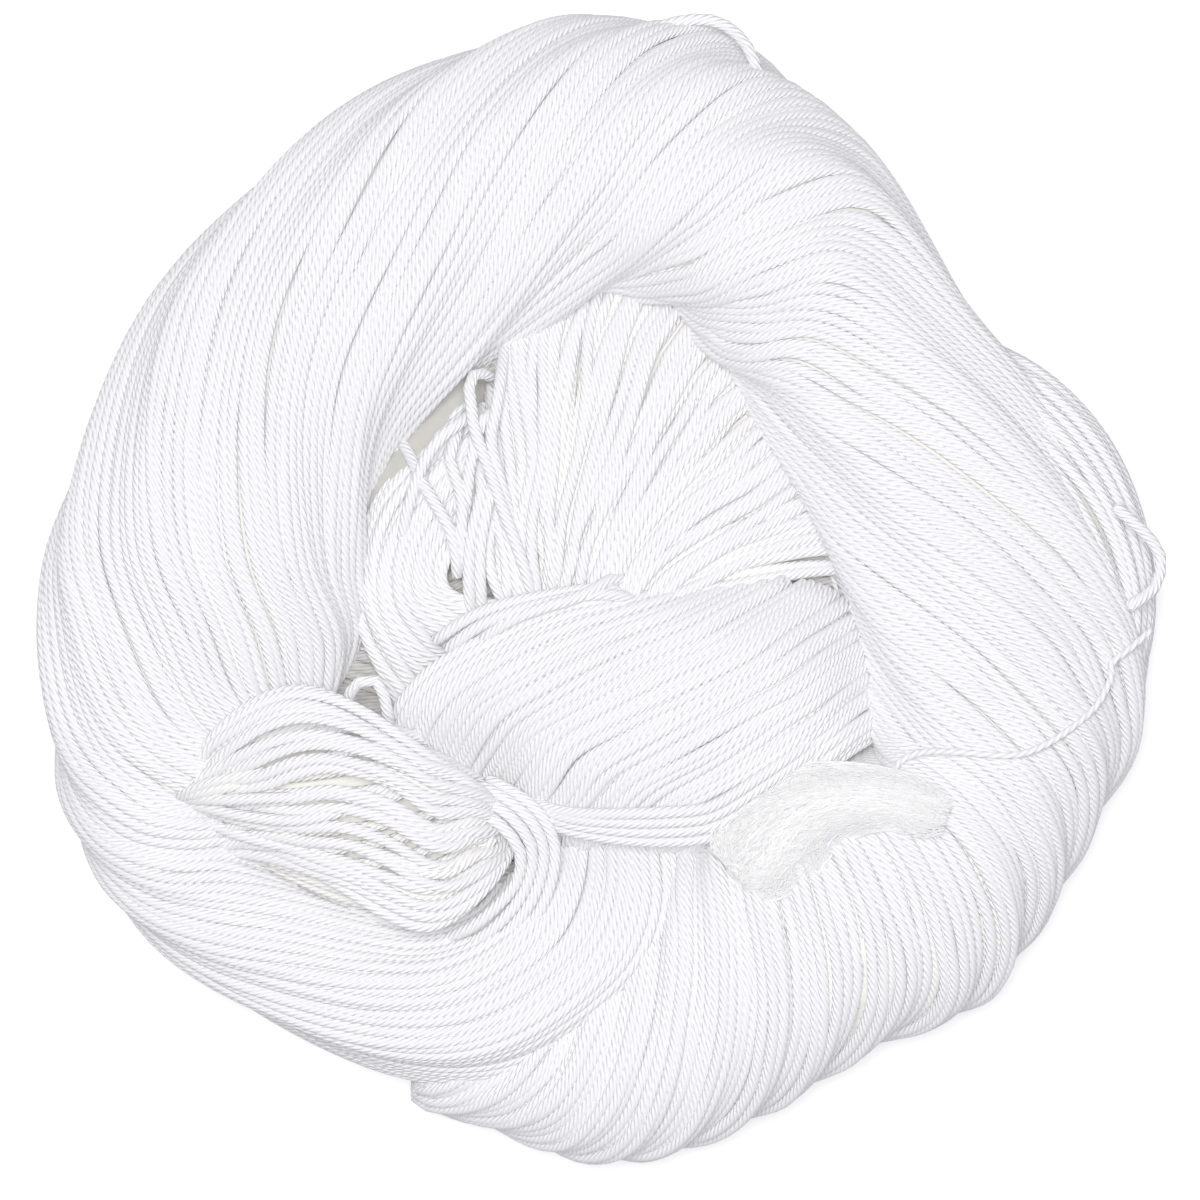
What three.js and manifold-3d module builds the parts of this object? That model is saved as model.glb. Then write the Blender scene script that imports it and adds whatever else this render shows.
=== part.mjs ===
// Skein of cotton yarn: a hank of white plied cotton, opened out, loosely twisted and laid round
// in a nest, with its thin tie and the tie's frayed knot on top. Seen from above, +X is to the
// right, +Y is up and +Z is towards the eye. The hank lies flat on the surface at z = 0.
import * as THREE from "three";
import Module from "manifold-3d";
import { mergeVertices } from "three/addons/utils/BufferGeometryUtils.js";

const wasm = await Module();
wasm.setup();

// Driving dimensions, in millimetres and degrees
const BUNDLE_FOOT = -4; // how far a bundle's round section reaches below the surface before it is cut flat
const SQUARENESS = 0.85; // 1 gives elliptical sections, less gives squarer ones
const STEPS_PER_ROW = 3; // rings from one row of a table to the next
const TIE_THREAD = 1.0; // thickness of the thin tie
const TIE_SIDES = 8;
const TIE_STEPS = 44;
const KNOT_SIDES = 10;
const GROUND = 300; // side of the block under the surface that the round bundles are cut flat with

const cottonYarn = new THREE.MeshStandardMaterial({ color: 0xf4f3f2, roughness: 0.6, metalness: 0 });
const tieThread = new THREE.MeshStandardMaterial({ color: 0xe6e5e6, roughness: 0.7, metalness: 0 });
const unspunCotton = new THREE.MeshStandardMaterial({ color: 0xf1f0ee, roughness: 0.95, metalness: 0 });

// Each bundle of strands is a row of sections. A section runs from its left to its right edge, as
// seen when walking along the bundle, and is as high as its crown. The twist is how far the strands
// have turned over to the left by then. bow pushes the middle of a wide section forward.

// The wreath is walked clockwise: it starts under the middle bundle, runs round below the loose
// lobe, up the left side, over the top and down the right side. Below the tie its strands spread
// into a fan that turns over the lower right edge.
const wreath = [
  { left: [17.5, -29], right: [-8, -28], crown: 20, twist: 0 },
  { left: [21, -40], right: [-11, -35.5], crown: 29, twist: 0 },
  { left: [20, -51], right: [-14, -42], crown: 34, twist: 6 },
  { left: [13, -60.5], right: [-20, -48.5], crown: 36, twist: 14 },
  { left: [-14, -73], right: [-31, -50], crown: 36, twist: 28 },
  { left: [-28, -73.5], right: [-39, -47], crown: 36, twist: 38 },
  { left: [-56, -62], right: [-54, -35], crown: 36, twist: 78 },
  { left: [-71.5, -50], right: [-57, -28], crown: 37, twist: 118 },
  { left: [-80, -36.5], right: [-52, -22], crown: 40, twist: 160 },
  { left: [-82.5, -25], right: [-45, -17], crown: 43, twist: 192 },
  { left: [-84.5, -1], right: [-36, -6], crown: 47, twist: 226 },
  { left: [-82, 14], right: [-36.5, 4], crown: 48, twist: 242 },
  { left: [-67.5, 45.5], right: [-31, 21.5], crown: 48, twist: 276 },
  { left: [-42, 71.5], right: [-17.5, 34], crown: 48, twist: 316 },
  { left: [-14, 85], right: [-2, 43.5], crown: 48, twist: 352 },
  { left: [1.5, 87.5], right: [5.5, 44.5], crown: 48, twist: 370 },
  { left: [16.5, 85.5], right: [12, 41.5], crown: 48, twist: 390 },
  { left: [30.5, 77], right: [17.5, 34.5], crown: 48, twist: 414 },
  { left: [43.5, 65], right: [23, 27], crown: 48, twist: 446 },
  { left: [58.5, 38.5], right: [30.5, 15], crown: 48, twist: 484 },
  { left: [70.5, 34.5], right: [32.5, 10], crown: 48, twist: 496 },
  { left: [80.5, 23], right: [35, 3.5], crown: 47, twist: 514 },
  { left: [84.5, 8], right: [37, -4], crown: 46, twist: 530 },
  { left: [83.5, -7], right: [39, -15], crown: 44, twist: 548 },
  { left: [82, -21.5], right: [40, -23], crown: 42, twist: 570 },
  { left: [76, -34], right: [36, -26], crown: 42, twist: 612 },
  { left: [69, -47.5], right: [30, -29], crown: 42, twist: 668 },
  { left: [58.5, -62], right: [23, -31.5], crown: 41, twist: 732 },
  { left: [42.5, -69], right: [16, -35], crown: 40, twist: 796 },
  { left: [27.5, -78], right: [9.5, -40], crown: 38, twist: 862 },
  { left: [10.5, -86], right: [3, -48], crown: 35, twist: 938 },
  { left: [-2.5, -87.5], right: [-3.5, -55], crown: 32, twist: 1000 },
  { left: [-16.5, -81.5], right: [-12, -61.5], crown: 27, twist: 1066 },
  { left: [-27.5, -78.5], right: [-21, -66], crown: 22, twist: 1130 },
  { left: [-28.5, -74.5], right: [-25, -68], crown: 17, twist: 1160 },
];
const WREATH_PIECES = 4; // the wreath crosses itself, so it is skinned in this many lengths and joined

// The curl starts under the left of the wreath and turns under the middle bundle.
const curl = [
  { left: [-10, 33], right: [-31, 36], crown: 27, twist: 0 },
  { left: [-14, 19], right: [-40, 22], crown: 32, twist: 12 },
  { left: [-17, 6], right: [-43, 4], crown: 34, twist: 24 },
  { left: [-17.5, 1.5], right: [-41, -8], crown: 34, twist: 36 },
  { left: [-17, 1], right: [-29, -19], crown: 32, twist: 48 },
  { left: [-12, 1], right: [-9, -15], crown: 26, twist: 60 },
];

// The fan in the nest spreads from the middle bundle's upper edge to the inside of the wreath.
const nestFan = [
  { left: [-18, -10], right: [9, -13], bow: 0, crown: 24, twist: 0 },
  { left: [-19.5, -2], right: [12, -7], bow: 3, crown: 32, twist: 2 },
  { left: [-21, 9], right: [23, -6], bow: 9, crown: 35, twist: 4 },
  { left: [-22, 21], right: [33, -5], bow: 17, crown: 35, twist: 6 },
  { left: [-23.5, 32], right: [41, -4], bow: 25, crown: 33, twist: 8 },
  { left: [-26, 40], right: [48, -3], bow: 31, crown: 27, twist: 10 },
];

// The middle bundle lies across the nest like a short length of rope.
const middle = [
  { left: [-16, -13.5], right: [-13, -37.5], crown: 27, twist: 0 },
  { left: [-12.5, -5], right: [-8.5, -37], crown: 36, twist: 16 },
  { left: [-1.5, 0], right: [3, -37.5], crown: 41, twist: 48 },
  { left: [12, 1.2], right: [15, -36.5], crown: 42, twist: 82 },
  { left: [24.5, 1.5], right: [26.5, -33], crown: 41, twist: 114 },
  { left: [34, 0], right: [36.5, -27.5], crown: 38, twist: 142 },
  { left: [42.5, -3], right: [45, -21], crown: 30, twist: 166 },
];

// A shorter length crosses the start of the middle bundle and sinks beside it.
const middleStart = [
  { left: [-33, -22], right: [-15, -36], crown: 31, twist: 0 },
  { left: [-32, -15.5], right: [-13, -31.5], crown: 36, twist: 10 },
  { left: [-26, -9], right: [-11.5, -22.5], crown: 39, twist: 24 },
  { left: [-16.5, -3.5], right: [-9.5, -12], crown: 40, twist: 40 },
  { left: [-6, -0.5], right: [-5, -6.5], crown: 39, twist: 56 },
  { left: [1, 0.5], right: [1, -3], crown: 36, twist: 66 },
];

// The loose lobe of separate strands lies over the wreath's lower left.
const lobe = [
  { left: [-66, -26], right: [-61.5, -35], crown: 36, twist: 0 },
  { left: [-61.5, -20.5], right: [-57, -39], crown: 41, twist: 6 },
  { left: [-55.5, -16], right: [-49.5, -44], crown: 44, twist: 12 },
  { left: [-47, -14], right: [-39.5, -49], crown: 45, twist: 20 },
  { left: [-37, -15], right: [-30.5, -52], crown: 44, twist: 30 },
  { left: [-26.5, -20], right: [-22, -50], crown: 42, twist: 42 },
  { left: [-18, -27], right: [-15, -43], crown: 39, twist: 56 },
  { left: [-12, -32], right: [-10.5, -38], crown: 35, twist: 70 },
  { left: [-6, -33], right: [-5, -36.5], crown: 31, twist: 80 },
];

// The strands that pass underneath close the bottom of the nest.
const bed = [
  { left: [-50, 22], right: [-52, -34], crown: 22, twist: 0 },
  { left: [-26, 36], right: [-26, -52], crown: 26, twist: 0 },
  { left: [0, 48], right: [0, -60], crown: 27, twist: 0 },
  { left: [26, 40], right: [26, -50], crown: 26, twist: 0 },
  { left: [48, 22], right: [48, -36], crown: 22, twist: 0 },
];

const bundles = [
  { rows: wreath, sides: 32, lobes: 8, lobeDepth: 0.04, pieces: WREATH_PIECES },
  { rows: bed, sides: 14, lobes: 4, lobeDepth: 0.03 },
  { rows: curl, sides: 16, lobes: 4, lobeDepth: 0.04 },
  { rows: nestFan, sides: 20, lobes: 5, lobeDepth: 0.03 },
  { rows: middle, sides: 20, lobes: 5, lobeDepth: 0.04 },
  { rows: middleStart, sides: 16, lobes: 4, lobeDepth: 0.04 },
  { rows: lobe, sides: 16, lobes: 4, lobeDepth: 0.04 },
];

// The thin tie comes out of the frayed knot, lies over the wreath and kinks up into its free end.
const tieRoute = [
  [43.8, -27.7, 41.6],
  [45.6, -25.3, 40],
  [49, -24, 40.6],
  [54, -24, 42.7],
  [61.5, -24.5, 43.4],
  [66, -23.5, 43],
  [71, -20.5, 42.2],
  [75, -17, 40.4],
  [77.2, -13, 39.1],
  [77.5, -10.5, 39.1],
  [80, -8.5, 38.4],
  [83.5, -5.5, 36.8],
];

// The frayed knot: a lock of unspun cotton, from the yarn's small loop to its blunt open end.
const frayedKnot = [
  { at: [52, -33], base: 43.4, wide: 2, thick: 1.6 },
  { at: [48.5, -32], base: 42.7, wide: 4, thick: 2.6 },
  { at: [44, -31], base: 41.9, wide: 5.5, thick: 3.6 },
  { at: [37, -31], base: 39.4, wide: 6.5, thick: 4.4 },
  { at: [30.5, -33.5], base: 38.3, wide: 8, thick: 4.8 },
  { at: [26, -37], base: 38.5, wide: 9, thick: 4.6 },
  { at: [22.5, -41], base: 38.7, wide: 7.5, thick: 3.6 },
  { at: [20.8, -43.2], base: 38.8, wide: 3.5, thick: 1.8 },
];

// A closed body skinned over rings of points: each ring runs from left over the top to right and
// back underneath, and both ends are closed by a fan to the ring's middle.
function skinOver(rings) {
  const sides = rings[0].length;
  const points = rings.flat();
  const faces = [];
  for (let i = 0; i + 1 < rings.length; i++) {
    for (let j = 0; j < sides; j++) {
      const next = (j + 1) % sides;
      const a = i * sides + j;
      const b = i * sides + next;
      const c = (i + 1) * sides + next;
      const d = (i + 1) * sides + j;
      faces.push(a, b, c, a, c, d);
    }
  }
  for (const [ring, first] of [[rings[0], 0], [rings.at(-1), (rings.length - 1) * sides]]) {
    const middlePoint = ring.reduce((sum, p) => sum.add(p), new THREE.Vector3()).divideScalar(sides);
    const hub = points.push(middlePoint) - 1;
    for (let j = 0; j < sides; j++) {
      const here = first + j;
      const next = first + ((j + 1) % sides);
      if (first === 0) faces.push(hub, next, here);
      else faces.push(hub, here, next);
    }
  }
  const geometry = new THREE.BufferGeometry().setFromPoints(points);
  geometry.setIndex(faces);
  return geometry;
}

// A bundle that lies under its own weight is a little squarer than an ellipse.
const flatten = (share) => Math.sign(share) * Math.abs(share) ** SQUARENESS;

// The rings of a bundle: a smooth curve through each column of its table, and at each step a round
// section with soft lobes that turn with the strands.
function bundleRings({ rows, sides, lobes, lobeDepth }) {
  const through = (pick) => new THREE.CatmullRomCurve3(rows.map(pick), false, "catmullrom", 0.5);
  const leftEdge = through((row) => new THREE.Vector3(...row.left, 0));
  const rightEdge = through((row) => new THREE.Vector3(...row.right, 0));
  const shape = through((row) => new THREE.Vector3(row.crown, row.twist, row.bow ?? 0));
  const steps = (rows.length - 1) * STEPS_PER_ROW;
  const rings = [];
  for (let i = 0; i <= steps; i++) {
    const left = leftEdge.getPoint(i / steps);
    const right = rightEdge.getPoint(i / steps);
    const { x: crown, y: twist, z: bow } = shape.getPoint(i / steps);
    const centre = left.clone().add(right).divideScalar(2);
    const half = left.clone().sub(right).divideScalar(2);
    const height = (crown - BUNDLE_FOOT) / 2;
    const ring = [];
    for (let j = 0; j < sides; j++) {
      const around = (j / sides) * 2 * Math.PI;
      const lobed = 1 + lobeDepth * Math.cos(lobes * (around + THREE.MathUtils.degToRad(twist)));
      const across = flatten(Math.cos(around)) * lobed;
      ring.push(
        new THREE.Vector3(
          centre.x + half.x * across,
          centre.y + half.y * across + bow * (1 - Math.min(1, across ** 2)),
          BUNDLE_FOOT + height + height * flatten(Math.sin(around)) * lobed,
        ),
      );
    }
    rings.push(ring);
  }
  return rings;
}

function toSolid(geometry) {
  const plain = geometry.clone();
  plain.deleteAttribute("normal");
  plain.deleteAttribute("uv");
  const merged = mergeVertices(plain, 1e-4);
  return new wasm.Manifold(
    new wasm.Mesh({
      numProp: 3,
      vertProperties: new Float32Array(merged.attributes.position.array),
      triVerts: new Uint32Array(merged.index.array),
    }),
  );
}

function toGeometry(solid) {
  const mesh = solid.getMesh();
  const geometry = new THREE.BufferGeometry();
  geometry.setAttribute("position", new THREE.BufferAttribute(mesh.vertProperties, 3));
  geometry.setIndex(new THREE.BufferAttribute(mesh.triVerts, 1));
  geometry.computeVertexNormals();
  return geometry;
}

// The bundle as one solid, or as the given number of overlapping lengths joined into one.
function bundleSolid(bundle) {
  const rings = bundleRings(bundle);
  const pieces = bundle.pieces ?? 1;
  const ringsEach = Math.ceil((rings.length - 1) / pieces);
  let wound = null;
  for (let first = 0; first < rings.length - 1; first += ringsEach) {
    const length = toSolid(skinOver(rings.slice(first, first + ringsEach + 2)));
    wound = wound ? wound.add(length) : length;
  }
  return wound;
}

// Pockets closed in between the bundles are full of yarn, so only the outermost skin is kept.
function makeHank() {
  const wound = bundles.map(bundleSolid).reduce((all, bundle) => all.add(bundle));
  const ground = new THREE.BoxGeometry(GROUND, GROUND, GROUND).translate(0, 0, -GROUND / 2);
  const skins = wound.subtract(toSolid(ground)).decompose();
  const outerSkin = skins.reduce((most, skin) => (skin.volume() > most.volume() ? skin : most));
  return new THREE.Mesh(toGeometry(outerSkin), cottonYarn);
}

function makeTie() {
  const route = new THREE.CatmullRomCurve3(tieRoute.map((point) => new THREE.Vector3(...point)));
  const corners = Array.from({ length: TIE_SIDES }, (_, j) => {
    const around = (j / TIE_SIDES) * 2 * Math.PI;
    return new THREE.Vector2(Math.cos(around), Math.sin(around)).multiplyScalar(TIE_THREAD / 2);
  });
  const section = new THREE.Shape(corners);
  const thread = new THREE.ExtrudeGeometry(section, { steps: TIE_STEPS, extrudePath: route });
  return new THREE.Mesh(thread, tieThread);
}

function makeKnot() {
  const line = new THREE.CatmullRomCurve3(frayedKnot.map((row) => new THREE.Vector3(...row.at, 0)));
  const rings = frayedKnot.map((row, i) => {
    const ahead = line.getTangent(i / (frayedKnot.length - 1));
    const toLeft = new THREE.Vector3(-ahead.y, ahead.x, 0).normalize();
    return Array.from({ length: KNOT_SIDES }, (_, j) => {
      const around = (j / KNOT_SIDES) * 2 * Math.PI;
      return new THREE.Vector3(...row.at, row.base + row.thick / 2)
        .addScaledVector(toLeft, (Math.cos(around) * row.wide) / 2)
        .add(new THREE.Vector3(0, 0, (Math.sin(around) * row.thick) / 2));
    });
  });
  return new THREE.Mesh(skinOver(rings), unspunCotton);
}

const hank = makeHank();
hank.name = "hank";
const tie = makeTie();
tie.name = "tie_thread";
const knot = makeKnot();
knot.name = "frayed_knot";

const skein = new THREE.Group();
skein.add(hank, tie, knot);

export default skein;
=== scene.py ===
import math

import bpy
import numpy as np
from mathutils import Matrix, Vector


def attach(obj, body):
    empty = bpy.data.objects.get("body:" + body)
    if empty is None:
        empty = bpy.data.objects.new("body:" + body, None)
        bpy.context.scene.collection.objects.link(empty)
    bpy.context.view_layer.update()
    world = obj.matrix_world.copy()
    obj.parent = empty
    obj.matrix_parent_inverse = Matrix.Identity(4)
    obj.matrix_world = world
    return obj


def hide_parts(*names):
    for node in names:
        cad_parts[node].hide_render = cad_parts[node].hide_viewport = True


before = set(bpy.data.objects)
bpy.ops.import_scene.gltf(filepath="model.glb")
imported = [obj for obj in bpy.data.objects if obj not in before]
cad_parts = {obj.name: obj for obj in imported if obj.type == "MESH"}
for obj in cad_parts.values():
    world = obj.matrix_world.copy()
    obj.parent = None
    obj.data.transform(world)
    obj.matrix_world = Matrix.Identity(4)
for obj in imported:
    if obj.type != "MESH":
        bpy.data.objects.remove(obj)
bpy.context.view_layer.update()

# Camera: straight above the opened hank, as far off as a product stand allows, so that the high
# and the low turns of yarn keep the same scale.
EYE_HEIGHT = 3.0
EYE_Y = -0.001
FRAME_SIDE = 0.1824
FRAME_LEVEL = 0.024
SENSOR_WIDTH = 36
FAR_END = 20

eye = bpy.data.cameras.new("stand_camera")
eye.sensor_width = SENSOR_WIDTH
eye.lens = SENSOR_WIDTH * (EYE_HEIGHT - FRAME_LEVEL) / FRAME_SIDE
eye.clip_end = FAR_END
stand = bpy.data.objects.new("stand_camera", eye)
stand.location = (0, EYE_Y, EYE_HEIGHT)
bpy.context.scene.collection.objects.link(stand)
bpy.context.scene.camera = stand

# Tie thread: a thin cotton thread, a little over half the yarn's thickness. It leaves the frayed
# knot, lies loose over the wreath and kinks up into a short cut end at the right.
MM = 0.001
TIE_THICKNESS = 0.001
TIE_PITCH = 0.0034
TIE_STEP_MM = 0.7
# x, y, z in millimetres, from the knot to the cut end
TIE_ROUTE = [
    (43.8, -27.7, 41.6),
    (45.6, -25.3, 40.0),
    (49.0, -24.0, 40.6),
    (54.0, -24.0, 42.7),
    (61.5, -24.5, 43.4),
    (66.0, -23.5, 43.0),
    (71.0, -20.5, 42.2),
    (75.0, -17.0, 40.4),
    (77.2, -13.0, 39.1),
    (77.5, -10.5, 39.1),
    (80.0, -8.5, 38.4),
    (83.5, -5.5, 36.8),
]


def along_column(column, places):
    """A smooth curve through the values of a table's column, read at places counted in rows."""
    values = np.asarray(column, float).reshape(len(column), -1)
    values = np.vstack([2 * values[0] - values[1], values, 2 * values[-1] - values[-2]])
    row = np.clip(np.asarray(places).astype(int), 0, len(values) - 4)
    t = (places - row)[:, None]
    before, here, after, later = (values[row + k] for k in range(4))
    square = (2 * before - 5 * here + 4 * after - later) * t**2
    cube = (3 * here - before - 3 * after + later) * t**3
    return 0.5 * (2 * here + (after - before) * t + square + cube)


def even_steps(route, step):
    """Points a step apart along the smooth curve through a route's points."""
    fine = along_column(route, np.linspace(0, len(route) - 1, 60 * (len(route) - 1) + 1))
    travelled = np.concatenate([[0], np.cumsum(np.linalg.norm(np.diff(fine, axis=0), axis=1))])
    stops = np.linspace(0, travelled[-1], max(3, int(round(travelled[-1] / step)) + 1))
    return np.stack([np.interp(stops, travelled, fine[:, k]) for k in range(3)], 1)


def math_node(tree, operation, *values):
    """A Math node in a tree, with each value set or linked."""
    node = tree.nodes.new("ShaderNodeMath")
    node.operation = operation
    for socket, value in zip(node.inputs, values):
        if isinstance(value, bpy.types.NodeSocket):
            tree.links.new(value, socket)
        else:
            socket.default_value = value
    return node.outputs[0]


TWIST_WAVES_PER_METRE = 55.0
TWIST_WAVE_PLIES = 3.2
FIBRES_ACROSS_PLY = 7.0
FIBRES_PER_METRE = 700.0
FIBRE_HEIGHT = 0.00003


def ply_twist_group():
    """Plies laid round a thread: from its lay, x the turn round it and y the metres along it."""
    group = bpy.data.node_groups.new("ply_twist", "ShaderNodeTree")
    sockets = [
        ("Lay", "INPUT", "NodeSocketVector"),
        ("Shift", "INPUT", "NodeSocketFloat"),
        ("Plies", "INPUT", "NodeSocketFloat"),
        ("Pitch", "INPUT", "NodeSocketFloat"),
        ("Ply height", "INPUT", "NodeSocketFloat"),
        ("Fibre height", "INPUT", "NodeSocketFloat"),
        ("Groove", "OUTPUT", "NodeSocketFloat"),
        ("Fibres", "OUTPUT", "NodeSocketFloat"),
        ("Height", "OUTPUT", "NodeSocketFloat"),
    ]
    for name, way, kind in sockets:
        group.interface.new_socket(name, in_out=way, socket_type=kind)
    given = group.nodes.new("NodeGroupInput").outputs
    made = group.nodes.new("NodeGroupOutput").inputs
    split = group.nodes.new("ShaderNodeSeparateXYZ")
    group.links.new(given["Lay"], split.inputs[0])
    turns = math_node(group, "DIVIDE", split.outputs["Y"], given["Pitch"])
    twist = math_node(group, "ADD", turns, split.outputs["X"])
    plies = math_node(group, "MULTIPLY", twist, given["Plies"])

    # The twist runs a little tighter and looser along a thread.
    run = group.nodes.new("ShaderNodeCombineXYZ")
    group.links.new(math_node(group, "MULTIPLY", split.outputs["Y"], TWIST_WAVES_PER_METRE), run.inputs[0])
    group.links.new(math_node(group, "MULTIPLY", given["Shift"], 17.0), run.inputs[1])
    uneven = group.nodes.new("ShaderNodeTexNoise")
    uneven.inputs["Scale"].default_value = 1.0
    uneven.inputs["Detail"].default_value = 1.0
    group.links.new(run.outputs[0], uneven.inputs["Vector"])
    offset = math_node(group, "MULTIPLY_ADD", uneven.outputs["Fac"], TWIST_WAVE_PLIES, given["Shift"])
    phase = math_node(group, "FRACT", math_node(group, "ADD", plies, offset))
    from_crest = math_node(group, "ABSOLUTE", math_node(group, "MULTIPLY_ADD", phase, 2.0, -1.0))
    square = math_node(group, "MULTIPLY", from_crest, from_crest)
    slope = math_node(group, "SUBTRACT", 1.0, square)
    roundness = math_node(group, "MULTIPLY", slope, slope)
    groove_shade = group.nodes.new("ShaderNodeMapRange")
    groove_shade.interpolation_type = "SMOOTHSTEP"
    groove_shade.inputs["From Min"].default_value = 0.25
    groove_shade.inputs["From Max"].default_value = 1.0
    group.links.new(from_crest, groove_shade.inputs["Value"])

    # Fibres lie along the plies, so the noise is fine across a ply and long along it.
    lie = group.nodes.new("ShaderNodeCombineXYZ")
    group.links.new(math_node(group, "MULTIPLY", plies, FIBRES_ACROSS_PLY), lie.inputs[0])
    group.links.new(math_node(group, "MULTIPLY", split.outputs["Y"], FIBRES_PER_METRE), lie.inputs[1])
    group.links.new(math_node(group, "MULTIPLY", given["Shift"], 31.0), lie.inputs[2])
    noise = group.nodes.new("ShaderNodeTexNoise")
    noise.inputs["Scale"].default_value = 1.0
    noise.inputs["Detail"].default_value = 2.0
    group.links.new(lie.outputs[0], noise.inputs["Vector"])
    fibres = noise.outputs["Fac"]
    bulge = math_node(group, "MULTIPLY", roundness, given["Ply height"])
    height = math_node(group, "MULTIPLY_ADD", fibres, given["Fibre height"], bulge)
    group.links.new(groove_shade.outputs["Result"], made["Groove"])
    group.links.new(fibres, made["Fibres"])
    group.links.new(height, made["Height"])
    return group


ply_twist = ply_twist_group()


PITCH_LEAST = 0.88
PITCH_SPREAD = 0.24
WORN_SHARE = 0.10
WORN_TONE = 0.82
# Shares of painted shade: how far the ply grooves are greyed, and how far deep-lying yarn turns cream.
GROOVE_SHADE_SHARE = 0.85
DEEP_SHADE_SHARE = 0.8
GROOVE_ROUGHER = 0.3


def spun_finish(name, crest, groove_shade, deep_shade_cream, plies, pitch, ply_height, roughness):
    """The finish of a spun thread: pale crests, grooves greyed by painted shade, and a painted cream shade
    where it lies deep.
    """
    material = bpy.data.materials.new(name)
    material.use_nodes = True
    tree = material.node_tree
    shader = tree.nodes["Principled BSDF"]
    lay = tree.nodes.new("ShaderNodeUVMap")
    lay.uv_map = "lay"
    shade = tree.nodes.new("ShaderNodeAttribute")
    shade.attribute_name = "shade"
    sunk = tree.nodes.new("ShaderNodeAttribute")
    sunk.attribute_name = "sunk"
    twist = tree.nodes.new("ShaderNodeGroup")
    twist.node_tree = ply_twist
    twist.inputs["Plies"].default_value = plies
    twist.inputs["Ply height"].default_value = ply_height
    twist.inputs["Fibre height"].default_value = FIBRE_HEIGHT
    tree.links.new(lay.outputs["UV"], twist.inputs["Lay"])
    tree.links.new(math_node(tree, "MULTIPLY", shade.outputs["Fac"], 9.0), twist.inputs["Shift"])
    tree.links.new(
        math_node(tree, "MULTIPLY_ADD", shade.outputs["Fac"], pitch * PITCH_SPREAD, pitch * PITCH_LEAST),
        twist.inputs["Pitch"],
    )

    def blend(share, one, other):
        node = tree.nodes.new("ShaderNodeMix")
        node.data_type = "RGBA"
        for socket, value in ((node.inputs[0], share), (node.inputs[6], one), (node.inputs[7], other)):
            if isinstance(value, bpy.types.NodeSocket):
                tree.links.new(value, socket)
            else:
                socket.default_value = value
        return node.outputs[2]

    worn_share = math_node(tree, "MULTIPLY", twist.outputs["Fibres"], WORN_SHARE)
    worn = blend(worn_share, (*crest, 1), (*[c * WORN_TONE for c in crest], 1))
    # Painted shade: the grooves between plies are greyed towards a cool lavender grey.
    groove_shade_share = math_node(tree, "MULTIPLY", twist.outputs["Groove"], GROOVE_SHADE_SHARE)
    shaded_plies = blend(groove_shade_share, worn, (*groove_shade, 1))
    # Painted shade: yarn that lies deep in its bundle turns a cream that stands for light bounced between
    # strands.
    deep_shade_share = math_node(tree, "MULTIPLY", sunk.outputs["Fac"], DEEP_SHADE_SHARE)
    tree.links.new(blend(deep_shade_share, shaded_plies, (*deep_shade_cream, 1)), shader.inputs["Base Color"])
    rough = math_node(tree, "MULTIPLY_ADD", twist.outputs["Groove"], GROOVE_ROUGHER, roughness)
    tree.links.new(rough, shader.inputs["Roughness"])
    bump = tree.nodes.new("ShaderNodeBump")
    bump.inputs["Distance"].default_value = 1.0
    tree.links.new(twist.outputs["Height"], bump.inputs["Height"])
    tree.links.new(bump.outputs["Normal"], shader.inputs["Normal"])
    shader.inputs["Specular IOR Level"].default_value = 0.3
    shader.inputs["Sheen Weight"].default_value = 0.15
    shader.inputs["Sheen Roughness"].default_value = 0.4
    return material


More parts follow.
